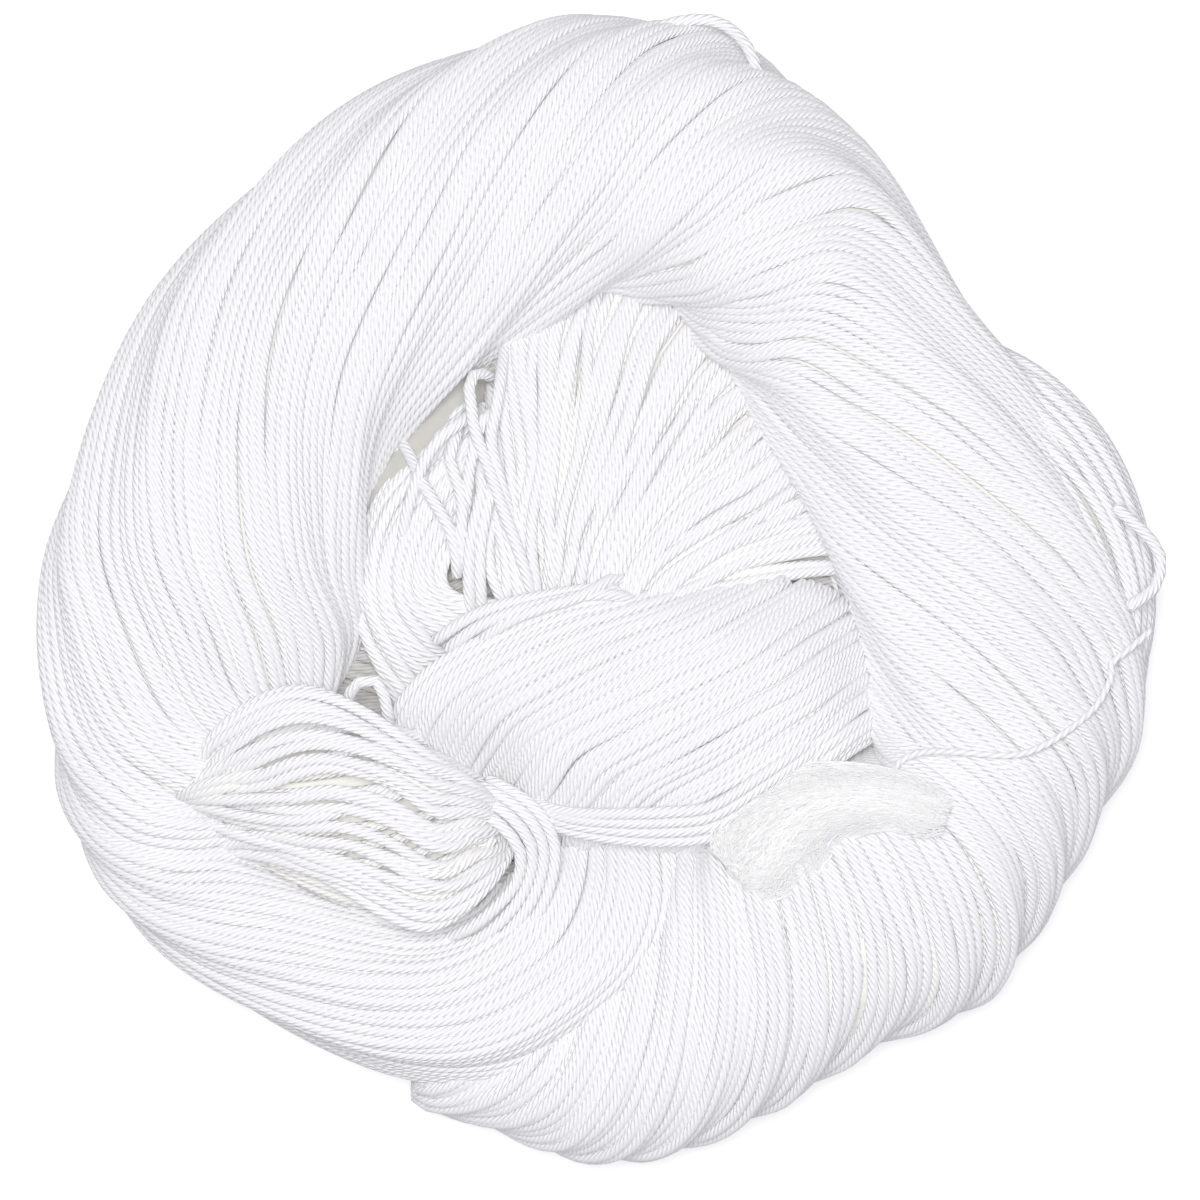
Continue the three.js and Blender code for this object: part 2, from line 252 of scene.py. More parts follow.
def lay_of_threads_tree():
    """Turns lines into round threads: closed tubes with their lay and a map for their pattern."""
    tree = bpy.data.node_groups.new("lay_of_threads", "GeometryNodeTree")
    sockets = [
        ("Lines", "INPUT", "NodeSocketGeometry"),
        ("Thickness", "INPUT", "NodeSocketFloat"),
        ("Corners", "INPUT", "NodeSocketInt"),
        ("Finish", "INPUT", "NodeSocketMaterial"),
        ("Threads", "OUTPUT", "NodeSocketGeometry"),
    ]
    for name, way, kind in sockets:
        tree.interface.new_socket(name, in_out=way, socket_type=kind)
    given = tree.nodes.new("NodeGroupInput").outputs
    made = tree.nodes.new("NodeGroupOutput").inputs

    def step(kind, flow, **settings):
        node = tree.nodes.new(kind)
        for key, value in settings.items():
            setattr(node, key, value)
        if flow is not None:
            tree.links.new(flow, node.inputs[0])
        return node

    def store(flow, name, kind, domain, value):
        node = step("GeometryNodeStoreNamedAttribute", flow, data_type=kind, domain=domain)
        node.inputs["Name"].default_value = name
        tree.links.new(value, node.inputs["Value"])
        return node.outputs[0]

    def named(name):
        node = step("GeometryNodeInputNamedAttribute", None, data_type="FLOAT")
        node.inputs["Name"].default_value = name
        return node.outputs["Attribute"]

    line = step("GeometryNodeMeshToCurve", given["Lines"])
    measure = tree.nodes.new("GeometryNodeSplineParameter")
    threads = store(line.outputs[0], "along", "FLOAT", "POINT", measure.outputs["Length"])
    ring = step("GeometryNodeCurveArc", None)
    tree.links.new(math_node(tree, "ADD", given["Corners"], 1.0), ring.inputs["Resolution"])
    tree.links.new(math_node(tree, "MULTIPLY", given["Thickness"], 0.5), ring.inputs["Radius"])
    ring.inputs["Sweep Angle"].default_value = 2 * math.pi
    profile = store(ring.outputs["Curve"], "turn", "FLOAT", "POINT", measure.outputs["Factor"])
    tube = step("GeometryNodeCurveToMesh", threads)
    tree.links.new(profile, tube.inputs["Profile Curve"])
    tree.links.new(named("swell"), tube.inputs["Scale"])
    lay = tree.nodes.new("ShaderNodeCombineXYZ")
    tree.links.new(named("turn"), lay.inputs[0])
    tree.links.new(named("along"), lay.inputs[1])
    mapped = store(tube.outputs[0], "lay", "FLOAT2", "CORNER", lay.outputs[0])
    closed = step("GeometryNodeMergeByDistance", mapped)
    closed.inputs["Distance"].default_value = 1e-7
    smooth = step("GeometryNodeSetShadeSmooth", closed.outputs[0])
    real = step("GeometryNodeRealizeInstances", smooth.outputs[0])
    dressed = step("GeometryNodeSetMaterial", real.outputs[0])
    tree.links.new(given["Finish"], dressed.inputs["Material"])
    tree.links.new(dressed.outputs[0], made["Threads"])
    return tree


lay_of_threads = lay_of_threads_tree()
# How far a thread's closed end reaches past its last point, in steps of its line.
END_REACH = 0.15


def spin(name, lines, thickness, corners, finish):
    """One plain mesh of threads. Each line holds points, and how sunk and what shade it is there."""
    points, edges, swell, sunk, shade = [], [], [], [], []
    for line in lines:
        way = np.asarray(line["points"])
        first = way[0] - (way[1] - way[0]) * END_REACH
        last = way[-1] + (way[-1] - way[-2]) * END_REACH
        start = len(swell)
        points += [first[None], way, last[None]]
        size = len(way) + 2
        edges.append(np.stack([np.arange(size - 1), np.arange(1, size)], 1) + start)
        swell += [0.0, *np.broadcast_to(line.get("swell", 1.0), len(way)), 0.0]
        depth = np.broadcast_to(line.get("sunk", 0.0), len(way))
        sunk += [depth[0], *depth, depth[-1]]
        shade += [line["shade"]] * size
    mesh = bpy.data.meshes.new(name)
    mesh.from_pydata(np.vstack(points).tolist(), np.vstack(edges).tolist(), [])
    for key, values in (("swell", swell), ("sunk", sunk), ("shade", shade)):
        mesh.attributes.new(key, "FLOAT", "POINT").data.foreach_set("value", values)
    piece = bpy.data.objects.new(name, mesh)
    bpy.context.scene.collection.objects.link(piece)
    modifier = piece.modifiers.new("lay_of_threads", "NODES")
    modifier.node_group = lay_of_threads
    inputs = {
        item.name: item.identifier
        for item in lay_of_threads.interface.items_tree
        if item.item_type == "SOCKET" and item.in_out == "INPUT"
    }
    modifier[inputs["Thickness"]] = thickness
    modifier[inputs["Corners"]] = corners
    modifier[inputs["Finish"]] = finish
    ready = piece.evaluated_get(bpy.context.evaluated_depsgraph_get())
    laid = bpy.data.meshes.new_from_object(ready)
    piece.modifiers.remove(modifier)
    piece.data = laid
    laid.name = name
    bpy.data.meshes.remove(mesh)
    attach(piece, "root")
    return piece


tie_finish = spun_finish(
    "tie_thread_cotton",
    crest=(0.80, 0.80, 0.82),
    groove_shade=(0.50, 0.50, 0.56),
    deep_shade_cream=(0.80, 0.76, 0.66),
    plies=2.0,
    pitch=TIE_PITCH,
    ply_height=0.00016,
    roughness=0.5,
)
tie_way = even_steps(TIE_ROUTE, TIE_STEP_MM) * MM
tie = spin("tie_thread_visual", [{"points": tie_way, "shade": 0.3}], TIE_THICKNESS, 8, tie_finish)
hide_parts("tie_thread")

# Wreath: the main twisted length of the hank, of plied and mercerised white cotton. Its strands
# turn slowly round each other, and below the tie they spread and roll over the lower right edge.
YARN = 0.0018
HALF_YARN_MM = YARN * 500
YARN_PLIES = 6.0
YARN_PITCH = 0.008
SPACING = 0.0014
STEP = 0.0026
FOOT = -4.0
SQUARENESS = 0.85
AROUND = np.linspace(0, 2 * np.pi, 97)
LEAD_SIDE = 0.06
# left x, left y, right x, right y, crown, twist, bow, lead: millimetres and degrees, walked
# clockwise. Lead is how much sooner the strands turn on the left side than on the right.
WREATH = [
    (17.5, -29, -8, -28, 20, 0, 0, 0),
    (21, -40, -11, -35.5, 29, 2, 0, 0),
    (20, -51, -14, -42, 34, 8, 0, 0),
    (12, -61.5, -20, -48.5, 36, 16, 0, 0),
    (-9, -73.5, -29.5, -49.5, 36, 28, 0, 0),
    (-30, -73.5, -40, -45.5, 36, 42, 0, 0),
    (-55, -62.5, -51.5, -37.5, 36, 66, 0, 0),
    (-71.5, -50, -54, -31, 36, 106, 0, 0),
    (-80, -36.5, -49, -26, 38, 158, 0, 0),
    (-83.5, -22.5, -40.5, -17.5, 41.5, 202, 0, 0),
    (-85, -4, -35, -6.5, 45.5, 224, 0, 0),
    (-82, 14, -35.5, 4, 48, 243, 0, 0.1),
    (-67.5, 45.5, -31, 21.5, 48, 272, 0, 0.2),
    (-42, 71.5, -17.5, 34, 48, 304, 0, 0.3),
    (-14, 85, -2, 43.5, 48, 342, 0, 0.45),
    (1.5, 87.5, 5.5, 44.5, 48, 368, 0, 0.55),
    (16.5, 85.5, 12, 41.5, 48, 398, 0, 0.65),
    (30.5, 77, 17.5, 34.5, 48, 430, 0, 0.72),
    (43.5, 64, 23, 27, 48, 456, 0, 0.75),
    (55.5, 45, 29, 16.5, 48, 470, 0, 0.7),
    (65.5, 32, 32.5, 8, 48, 479, 0, 0.6),
    (74, 19.5, 35, 0.5, 47, 487, 0, 0.45),
    (80.5, 6, 37, -7, 46, 496, 0, 0.3),
    (83.5, -7, 39, -15, 44, 507, 0, 0.12),
    (82, -21.5, 40, -23, 42, 528, 0, 0),
    (76, -34, 36, -26, 42, 566, 0, 0),
    (69, -47.5, 30, -29, 42, 618, 0, 0),
    (58.5, -62, 23, -31.5, 41, 680, 0, 0),
    (42.5, -69, 16, -35, 40, 744, 0, 0),
    (27.5, -78, 9.5, -40, 38, 810, 0, 0),
    (11, -85.5, 3, -48, 35, 884, 0, 0),
    (-3, -86.5, -3.5, -55, 32, 948, 0, 0),
    (-16.5, -82, -12, -61.5, 27, 1012, 0, 0),
    (-27.5, -78.5, -21, -66, 22, 1068, 0, 0),
    (-28.5, -74.5, -25, -68, 17, 1092, 0, 0),
]


# Strands' seats: every strand's rank is a golden share on from the last one's.
GOLDEN_SHARE = 0.6180339
SOFTNESS = 0.22
LAYER_MM = 0.9
# How deep a strand lies sets how much painted cream shade its finish gets.
SUNK_FROM_MM = 0.8
SUNK_OVER_MM = 1.6


def flatten(share):
    """A bundle that lies under its own weight is a little squarer than an ellipse."""
    return np.sign(share) * np.abs(share) ** SQUARENESS


def sections(rows, places, lobes, lobe_depth, inset):
    """Outlines of a bundle at the places, inset from its skin, in metres, with their inward way."""
    table = np.asarray([(*row, 0, 0)[:8] for row in rows], float)
    column = along_column(table, places)
    left, right = column[:, 0:2], column[:, 2:4]
    crown, twist, bow, lead = (column[:, k : k + 1] for k in range(4, 8))
    half = (left - right) / 2
    width = np.linalg.norm(half, axis=1)[:, None]
    height = (crown - FOOT) / 2
    lobed = 1 + lobe_depth * np.cos(lobes * (AROUND + np.radians(twist)))
    across = width * flatten(np.cos(AROUND)) * lobed
    up = FOOT + height + height * flatten(np.sin(AROUND)) * lobed
    along_across = np.gradient(across, axis=1)
    along_up = np.gradient(up, axis=1)
    length = np.hypot(along_across, along_up) + 1e-9
    inward = np.stack([-along_up / length, along_across / length], 2)
    across = across + inward[:, :, 0] * inset
    up = np.maximum(up + inward[:, :, 1] * inset, inset)
    return {
        "centre": (left + right) / 2,
        "side": half / width,
        "half_width": width,
        "across": across,
        "up": up,
        "inward": inward,
        "bow": bow,
        "twist": twist[:, 0],
        "lead": lead,
    }


def stops_along(rows, step):
    """Places along a bundle, in rows, that its twisted strands reach every step metres."""
    fine = np.linspace(0, len(rows) - 1, 40 * (len(rows) - 1) + 1)
    cut = sections(rows, fine, lobes=1, lobe_depth=0.0, inset=0.8)
    run = np.linalg.norm(np.diff(cut["centre"], axis=0), axis=1)
    reach = (cut["half_width"][1:, 0] + cut["up"][1:].max(axis=1) / 2) / 2
    travelled = np.hypot(run, np.radians(np.abs(np.diff(cut["twist"]))) * reach)
    travelled = np.concatenate([[0], np.cumsum(travelled)]) * MM
    count = int(math.ceil(travelled[-1] / step)) + 1
    return np.interp(np.linspace(0, travelled[-1], count), travelled, fine), travelled[-1]


def drift(rng, count, length, wave, steps):
    """A slow random drift from -1 to 1 for each strand, over the steps along it."""
    knots = max(4, int(length / wave) + 3)
    return along_column(rng.uniform(-1, 1, (knots, count)), np.linspace(0, knots - 1.001, steps))


def ease(values, reach):
    """The values with their quick changes eased out over the given number of steps each way."""
    weights = np.hanning(2 * reach + 3)[1:-1]
    padded = np.concatenate([np.full(reach, values[0]), values, np.full(reach, values[-1])])
    return np.convolve(padded, weights / weights.sum(), "valid")


def take_seats(rng, share, room, length, sway, lift, lock, pinch):
    """Where each strand sits across, from 0 to 1, and how many mm in it lies, at every step along.

    Share is how many of the strands there is room for on top: the rest sink under their neighbours.
    """
    steps, count = share.shape
    rank = (np.arange(count) * GOLDEN_SHARE) % 1
    wander = drift(rng, count, length, 0.05, steps) * 0.08
    keep = np.clip((share - rank + wander) / SOFTNESS + 0.5, 0.02, 1)
    keep = keep * keep * (3 - 2 * keep)
    before = np.cumsum(keep, axis=1) - keep / 2
    seat = before / keep.sum(axis=1, keepdims=True)

    # Neighbouring strands lie in locks of three to six, with a soft groove between locks.
    lock_of = np.searchsorted(np.cumsum(rng.integers(3, 7, count)), np.arange(count), side="right")
    middle = np.array([np.arange(count)[lock_of == k].mean() for k in lock_of])
    off_middle = np.arange(count) - middle
    close = 0.5 + 0.5 * drift(rng, count, length, 0.04, steps)[:, lock_of]
    reach_of = np.maximum(1, [np.abs(off_middle[lock_of == k]).max() for k in lock_of])
    edge = (np.abs(off_middle) / reach_of) ** 2
    pull = -off_middle * close * pinch
    seat = seat + (pull + drift(rng, count, length, 0.045, steps) * sway) / (room[:, None] + 1e-6)
    ride_low = (0.5 + 0.5 * drift(rng, count, length, 0.035, steps)) * lift
    layers_down = np.clip(rank / np.maximum(share, 0.1), 1, 2)
    return seat, (1 - keep) * LAYER_MM * layers_down + edge * close * lock + ride_low


def as_lines(rng, points, inside):
    """The strands as lines to spin, each with its own shade."""
    shades = rng.uniform(0, 1, points.shape[1])
    sunk = np.clip((inside - SUNK_FROM_MM) / SUNK_OVER_MM, 0, 1)
    return [
        {"points": points[:, k], "sunk": sunk[:, k], "shade": float(shades[k])}
        for k in range(points.shape[1])
    ]


def lay_bundle(rows, count, spacing, seed, lobes, lobe_depth, sway=0.4, lift=0.3):
    """Strands laid side by side round a bundle."""
    rng = np.random.default_rng(seed)
    places, length = stops_along(rows, STEP)
    cut = sections(rows, places, lobes, lobe_depth, HALF_YARN_MM)
    steps = len(places)
    sides = np.hypot(np.diff(cut["across"], axis=1), np.diff(cut["up"], axis=1))
    girth = np.concatenate([np.zeros((steps, 1)), np.cumsum(sides, axis=1)], axis=1)
    around = girth / girth[:, -1:]
    walked = np.cumsum(np.linalg.norm(np.diff(cut["centre"], axis=0), axis=1))
    run = np.gradient(np.concatenate([[0], walked]))
    turn = np.abs(np.gradient(cut["twist"])) / 360 * girth[:, -1]
    room = girth[:, -1] * run / np.hypot(run, turn) / (spacing * 1000)
    room = ease(room, 14)

    turned = (np.arange(count) + 0.5) / count - cut["twist"][:, None] / 360
    from_lead = 2 * np.pi * (turned - LEAD_SIDE)
    aim = turned + cut["lead"] * np.sin(from_lead) / (2 * np.pi)
    share = np.clip(room[:, None] / count * (1 + cut["lead"] * np.cos(from_lead)), 0.1, 1.1)
    seat, inside = take_seats(rng, share, room, length, sway, lift, lock=0.12, pinch=0.05)
    where = seat + (aim - seat).mean(axis=1, keepdims=True)
    where = where - np.floor(where)
    outline = (cut["across"], cut["up"], cut["inward"][:, :, 0], cut["inward"][:, :, 1])
    spot = np.empty((4, steps, count))
    for k in range(steps):
        for row, values in enumerate(outline):
            spot[row, k] = np.interp(where[k], around[k], values[k])
    across = spot[0] + spot[2] * inside
    up = np.maximum(spot[1] + spot[3] * inside, HALF_YARN_MM)
    bowed = cut["bow"] * (1 - np.minimum(1, (across / cut["half_width"]) ** 2))
    x = cut["centre"][:, 0:1] + cut["side"][:, 0:1] * across
    y = cut["centre"][:, 1:2] + cut["side"][:, 1:2] * across + bowed
    return as_lines(rng, np.stack([x, y, up], 2) * MM, inside)


def lay_sheet(guides, count, spacing, seed, sway=0.5, lift=0.5, lock=0.15, pinch=0.08):
    """Strands laid side by side between guide strands, in their order across."""
    rng = np.random.default_rng(seed)
    guides = np.asarray(guides, float)
    kinds, marks = guides.shape[:2]
    length = np.linalg.norm(np.diff(guides, axis=1), axis=2).sum(axis=1).mean() * MM
    steps = int(length / STEP) + 2
    by_mark = guides.transpose(1, 0, 2).reshape(marks, -1)
    along = along_column(by_mark, np.linspace(0, marks - 1, steps)).reshape(steps, kinds, 3)
    fine = np.linspace(0, kinds - 1, 12 * (kinds - 1) + 1)
    cloth = np.stack([along_column(row, fine) for row in along])
    ahead = np.gradient(cloth, axis=0)
    ahead /= np.linalg.norm(ahead, axis=2, keepdims=True)
    apart = np.diff(cloth, axis=1)
    gap = np.linalg.norm(np.cross(apart, ahead[:, 1:]), axis=2)
    girth = np.concatenate([np.zeros((steps, 1)), np.cumsum(gap, axis=1)], axis=1)
    room = ease(girth[:, -1] / (spacing * 1000), 4)
    share = np.broadcast_to(np.clip(room / count, 0.1, 1.1)[:, None], (steps, count))
    seat, inside = take_seats(rng, share, room, length, sway, lift, lock, pinch)
    face = np.cross(np.gradient(cloth, axis=1), ahead)
    face *= np.sign(face[:, :, 2:] + 1e-9) / (np.linalg.norm(face, axis=2, keepdims=True) + 1e-9)
    points = np.empty((steps, count, 3))
    for k in range(steps):
        share_across = girth[k] / girth[k, -1]
        for axis in range(3):
            spot = np.interp(seat[k], share_across, cloth[k, :, axis])
            outward = np.interp(seat[k], share_across, face[k, :, axis])
            points[k, :, axis] = spot - outward * inside[k]
    return as_lines(rng, points * MM, inside)


yarn_finish = spun_finish(
    "mercerised_cotton_yarn",
    crest=(0.825, 0.825, 0.832),
    groove_shade=(0.69, 0.68, 0.77),
    deep_shade_cream=(0.90, 0.87, 0.76),
    plies=YARN_PLIES,
    pitch=YARN_PITCH,
    ply_height=0.0002,
    roughness=0.5,
)


def lay_yarn(name, lines, corners=8, finish=yarn_finish):
    """A piece of the hank's yarn, spun from its lines."""
    piece = spin(name, lines, YARN, corners, finish)
    return piece


def core_mesh(name, rows, lobes, lobe_depth, inset, finish):
    """The yarn further in: one closed skin under a bundle's outer strands."""
    places = np.linspace(0, len(rows) - 1, 3 * (len(rows) - 1) + 1)
    cut = sections(rows, places, lobes, lobe_depth, inset)
    pick = slice(0, len(AROUND) - 1, 3)
    across, up = cut["across"][:, pick], cut["up"][:, pick]
    bowed = cut["bow"] * (1 - np.minimum(1, (across / cut["half_width"]) ** 2))
    x = cut["centre"][:, 0:1] + cut["side"][:, 0:1] * across
    y = cut["centre"][:, 1:2] + cut["side"][:, 1:2] * across + bowed
    rings = np.stack([x, y, up], 2) * MM
    count, corners = rings.shape[:2]
    points = np.vstack([rings.reshape(-1, 3), rings[0].mean(0), rings[-1].mean(0)])
    faces = []
    for k in range(count - 1):
        for j in range(corners):
            n = (j + 1) % corners
            here, there = k * corners, (k + 1) * corners
            faces.append((here + j, here + n, there + n, there + j))
    for j in range(corners):
        n = (j + 1) % corners
        faces.append((count * corners, n, j))
        faces.append((count * corners + 1, (count - 1) * corners + j, (count - 1) * corners + n))
    mesh = bpy.data.meshes.new(name)
    mesh.from_pydata(points.tolist(), [], faces)
    mesh.polygons.foreach_set("use_smooth", [True] * len(faces))
    mesh.materials.append(finish)
    piece = bpy.data.objects.new(name, mesh)
    bpy.context.scene.collection.objects.link(piece)
    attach(piece, "root")
    return piece


# The yarn further in is painted a darker cream than the strands over it: painted shade for the depth it
# lies at.
core_shade_finish = bpy.data.materials.new("yarn_further_in_painted_shade")
core_shade_finish.use_nodes = True
core_shader = core_shade_finish.node_tree.nodes["Principled BSDF"]
core_noise = core_shade_finish.node_tree.nodes.new("ShaderNodeTexNoise")
core_noise.inputs["Scale"].default_value = 700
core_shade_ramp = core_shade_finish.node_tree.nodes.new("ShaderNodeValToRGB")
core_shade_ramp.color_ramp.elements[0].color = (0.66, 0.64, 0.56, 1)
core_shade_ramp.color_ramp.elements[1].color = (0.78, 0.76, 0.68, 1)
core_place = core_shade_finish.node_tree.nodes.new("ShaderNodeTexCoord")
core_shade_finish.node_tree.links.new(core_place.outputs["Object"], core_noise.inputs["Vector"])
core_shade_finish.node_tree.links.new(core_noise.outputs["Fac"], core_shade_ramp.inputs["Fac"])
core_shade_finish.node_tree.links.new(core_shade_ramp.outputs["Color"], core_shader.inputs["Base Color"])
core_shader.inputs["Roughness"].default_value = 0.9

wreath_strands = lay_bundle(WREATH, count=144, spacing=SPACING, seed=11, lobes=8, lobe_depth=0.045)
for third in range(3):
    piece = lay_yarn(f"wreath_strands_{third + 1}", wreath_strands[third::3])
    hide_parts("hank")
core_mesh("wreath_core", WREATH, lobes=8, lobe_depth=0.04, inset=2.6, finish=core_shade_finish)

# Outer turns: a few turns of the same yarn that slipped off the wreath on the right, where they lie
# lower and apart.
OUTER_TURNS = [
    (46, 46, 39, 31, 30, 0),
    (57.5, 39.5, 48, 24, 34, 4),
    (68.5, 33.5, 56, 16, 37, 8),
    (77.5, 23.5, 62, 8, 38, 12),
    (83, 11, 66, 1, 38, 16),
    (84.8, -1, 68, -6, 37, 20),
    (83, -12, 66, -14, 35, 24),
    (77, -22, 62, -20, 28, 30),
]
outer_turns = lay_bundle(
    OUTER_TURNS, count=42, spacing=0.0019, seed=18, lobes=3, lobe_depth=0.04, sway=0.8, lift=0.8
)
lay_yarn("outer_turns_strands", outer_turns)
core_mesh("outer_turns_core", OUTER_TURNS, lobes=3, lobe_depth=0.04, inset=3.4, finish=core_shade_finish)

# Bed of the nest: the turns of the hank that pass underneath and close its bottom.
BED = [
    (-50, 22, -52, -34, 22, 0),
    (-26, 36, -26, -52, 26, 0),
    (0, 48, 0, -60, 27, 0),
    (26, 40, 26, -50, 26, 0),
    (48, 22, 48, -36, 22, 0),
]
shaded_finish = spun_finish(
    "yarn_in_deep_shade",
    crest=(0.30, 0.29, 0.26),
    groove_shade=(0.22, 0.21, 0.20),
    deep_shade_cream=(0.26, 0.25, 0.22),
    plies=YARN_PLIES,
    pitch=YARN_PITCH,
    ply_height=0.00018,
    roughness=0.6,
)
bed = lay_bundle(BED, count=110, spacing=0.0018, seed=12, lobes=4, lobe_depth=0.03)
lay_yarn("bed_strands", bed, corners=6, finish=shaded_finish)
deep_core_finish = core_shade_finish.copy()
deep_core_finish.name = "yarn_in_deep_shade_further_in"
deep_ramp = deep_core_finish.node_tree.nodes["Color Ramp"].color_ramp
deep_ramp.elements[0].color = (0.24, 0.23, 0.20, 1)
deep_ramp.elements[1].color = (0.34, 0.32, 0.28, 1)
core_mesh("bed_core", BED, lobes=4, lobe_depth=0.03, inset=2.6, finish=deep_core_finish)

# Curl: strands that come out from under the left of the wreath, bend round in a narrow U and go
# under the middle bundle. The rows shape the yarn further in, and the strands on top lie between
# guide strands. Every guide is x, y, z in mm, from the wreath to the middle bundle.
CURL = [
    (-10, 33, -31, 36, 27, 0),
    (-14, 19, -40, 22, 32, 12),
    (-17, 6, -43, 4, 34, 24),
    (-17.5, 1.5, -41, -8, 34, 36),
    (-17, 1, -29, -19, 32, 48),
    (-12, 1, -9, -15, 26, 60),
]
CURL_GUIDES = [
    [(-19.8, 30.0, 26), (-27.7, 23.2, 26), (-34.4, 14.1, 26), (-37.2, 4.9, 27),
     (-37.1, -4.9, 28), (-33.4, -13.3, 27), (-30.1, -18.2, 25)],
    [(-18.8, 27.7, 28), (-26.4, 20.1, 29), (-32.4, 12.7, 30), (-35.1, 4.0, 31),
     (-34.4, -4.2, 31), (-29.0, -9.5, 30), (-23.9, -11.5, 27)],
    [(-18.2, 25.5, 29), (-24.8, 18.0, 31), (-29.9, 11.0, 32), (-32.2, 4.0, 32.5),
     (-31.0, -2.4, 32.5), (-24.8, -6.6, 31.5), (-16.1, -7.2, 28)],
    [(-17.8, 22.4, 30), (-23.4, 15.7, 32), (-27.8, 10.1, 33), (-29.2, 4.0, 33.5),
     (-27.5, -0.7, 33.5), (-21.0, -3.9, 32.5), (-12.2, -4.5, 29)],
    [(-17.3, 19.4, 30), (-22.2, 12.5, 32), (-25.2, 7.5, 33.5), (-26.0, 3.3, 34),
     (-23.9, 0.1, 34), (-19.0, -2.1, 33), (-10.3, -3.0, 30)],
    [(-17.0, 14.1, 29), (-20.8, 8.7, 31), (-22.8, 5.4, 32.5), (-23.4, 2.7, 33), (-22.0, 0.4, 33),
     (-17.6, -1.1, 32.5), (-9.1, -2.1, 30)],
]
lay_yarn("curl_strands", lay_sheet(CURL_GUIDES, count=35, spacing=SPACING, seed=13, lift=0.7))
core_mesh("curl_core", CURL, lobes=4, lobe_depth=0.04, inset=3.6, finish=deep_core_finish)

# Fan in the nest: strands that spread from the middle bundle to the inside of the wreath. Every
# guide strand is x, y, z in mm, from the wreath's inner edge to where the strands gather.
NEST_FAN = [
    (-18, -10, 9, -13, 24, 0, 0),
    (-19.5, -2, 12, -7, 32, 2, 3),
    (-21, 9, 23, -6, 35, 4, 9),
    (-22, 21, 33, -5, 35, 6, 17),
    (-23.5, 32, 41, -4, 33, 8, 25),
    (-26, 40, 48, -3, 27, 10, 31),
]
NEST_GUIDES = [
    [(-19.8, 23.2, 24), (-18.5, 18.6, 28), (-17.9, 14.1, 31), (-17.5, 9.5, 33),
     (-16.9, 4.9, 33.8), (-16.1, 0.4, 33.8), (-15.2, -4.5, 31)],
    [(-17.6, 30.0, 24), (-16.7, 23.2, 28.5), (-15.8, 17.1, 32), (-14.9, 11.0, 33.5),
     (-13.7, 4.9, 34.3), (-12.3, 0.1, 34), (-11.1, -4.5, 31.5)],
    [(-15.2, 36.6, 25), (-15.2, 27.7, 30), (-14.7, 21.7, 32.5), (-13.4, 14.1, 34),
     (-11.6, 7.2, 35), (-9.4, 1.1, 34.5), (-7.9, -4.2, 32)],
    [(-14.0, 42.2, 25), (-14.3, 32.3, 31), (-13.8, 23.2, 33.5), (-11.9, 14.1, 35),
     (-9.4, 6.5, 36), (-7.1, 1.1, 35.5), (-6.1, -4.2, 32.5)],
    [(-9.1, 46.0, 26), (-10.2, 33.8, 32), (-10.9, 23.2, 34.5), (-9.4, 13.3, 36),
     (-6.8, 5.7, 36.8), (-4.9, 0.7, 36.3), (-4.3, -4.2, 33)],
    [(-1.5, 46.7, 26), (-4.3, 35.3, 32.5), (-6.4, 23.9, 35), (-6.1, 13.3, 36.5),
     (-4.4, 5.7, 37.2), (-3.0, 0.7, 36.6), (-2.7, -4.2, 33.5)],
    [(6.7, 46.7, 26), (3.3, 35.3, 32.5), (-0.3, 23.9, 35), (-2.0, 13.3, 36.8), (-1.8, 5.7, 37.5),
     (-1.4, 0.7, 36.8), (-1.2, -4.2, 33.5)],
    [(12.5, 44.5, 26), (7.6, 33.8, 32.5), (3.8, 23.2, 35), (1.1, 13.3, 37), (0.3, 5.7, 37.5),
     (0.2, 0.7, 36.8), (0.2, -4.2, 33.5)],
    [(17.5, 39.1, 26), (12.2, 30.0, 32), (7.6, 20.9, 34.8), (4.1, 12.2, 36.8), (2.3, 5.4, 37.5),
     (1.5, 0.7, 36.8), (1.4, -4.2, 33.5)],
    [(25.1, 31.5, 26), (18.5, 24.7, 32), (12.8, 17.1, 34.8), (7.6, 10.3, 36.5), (4.6, 4.6, 37.3),
     (3.0, 0.4, 36.5), (2.4, -4.2, 33.5)],
    [(31.3, 23.2, 26), (23.6, 18.6, 31.5), (16.4, 12.8, 34.5), (10.3, 7.5, 36.2), (6.5, 3.4, 37),
     (4.6, -0.2, 36.3), (3.6, -4.2, 33.5)],
    [(36.2, 14.8, 26), (28.1, 12.2, 31), (20.1, 8.4, 34), (13.2, 4.9, 35.8), (8.4, 1.9, 36.5),
     (6.1, -0.8, 36), (4.9, -4.5, 33)],
    [(39.5, 8.0, 25), (30.4, 7.2, 30.5), (22.0, 4.9, 33.5), (15.2, 2.7, 35), (10.3, 0.4, 36),
     (7.6, -1.9, 35.4), (6.4, -4.9, 32.5)],
    [(41.3, 2.7, 24), (32.7, 3.1, 29.5), (24.3, 1.9, 32.5), (17.5, 0.1, 34), (12.5, -1.6, 35),
     (9.4, -3.3, 34.5), (7.6, -5.4, 32)],
]
nest_fan = lay_sheet(
    NEST_GUIDES, count=84, spacing=SPACING, seed=14, sway=0.8, lift=0.9, lock=0.3, pinch=0.12
)
lay_yarn("nest_fan_strands", nest_fan)
core_mesh("nest_fan_core", NEST_FAN, lobes=5, lobe_depth=0.03, inset=5.0, finish=core_shade_finish)

